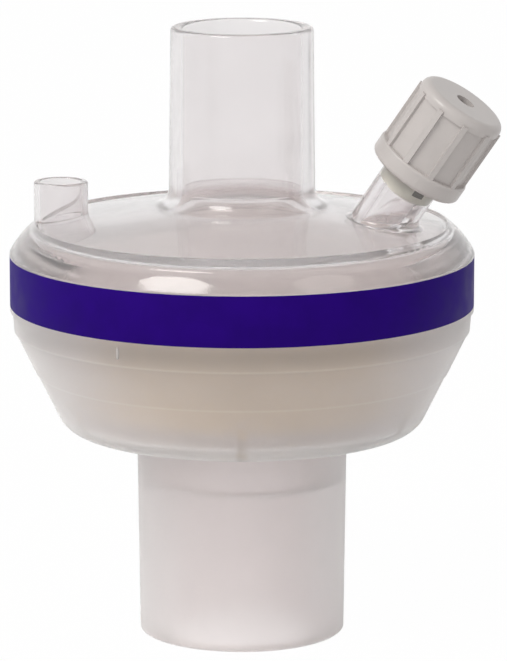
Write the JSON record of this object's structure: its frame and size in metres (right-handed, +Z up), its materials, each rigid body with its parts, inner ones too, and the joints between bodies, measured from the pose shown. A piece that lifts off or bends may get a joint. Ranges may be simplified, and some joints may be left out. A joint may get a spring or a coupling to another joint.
{
  "type": "breathing circuit filter",
  "caption": "Small breathing circuit filter with a clear domed top, frosted bowl, blue band, conical ports and a capped gas sampling port.",
  "frame": {"origin": "centre of the patient port's end face, at the bottom", "axes": "+Z up the common axis of both breathing ports, towards the machine port; the gas sampling port leans towards +X"},
  "size_m": [0.0521, 0.0498, 0.0657],
  "materials": {
    "clear_shell": "clear and glossy",
    "frosted_shell": "frosted, fine satin",
    "blue_label": "printed film, light gloss",
    "grey_cap": "satin moulded plastic",
    "filter_felt": "fine needled felt",
    "exchanger_paper": "corrugated paper"
  },
  "bodies": {
    "root": {"upper_housing": "clear_shell", "lower_housing": "frosted_shell", "label_band": "blue_label", "filter_pad": "filter_felt", "hme_roll": "exchanger_paper"},
    "cap": {"luer_cap": "grey_cap"}
  },
  "joints": [
    {"name": "cap_lift", "type": "slide", "parent": "root", "child": "cap", "axis": [0.5356, -0.1751, 0.8261], "range_m": [0, 0.025]}
  ]
}
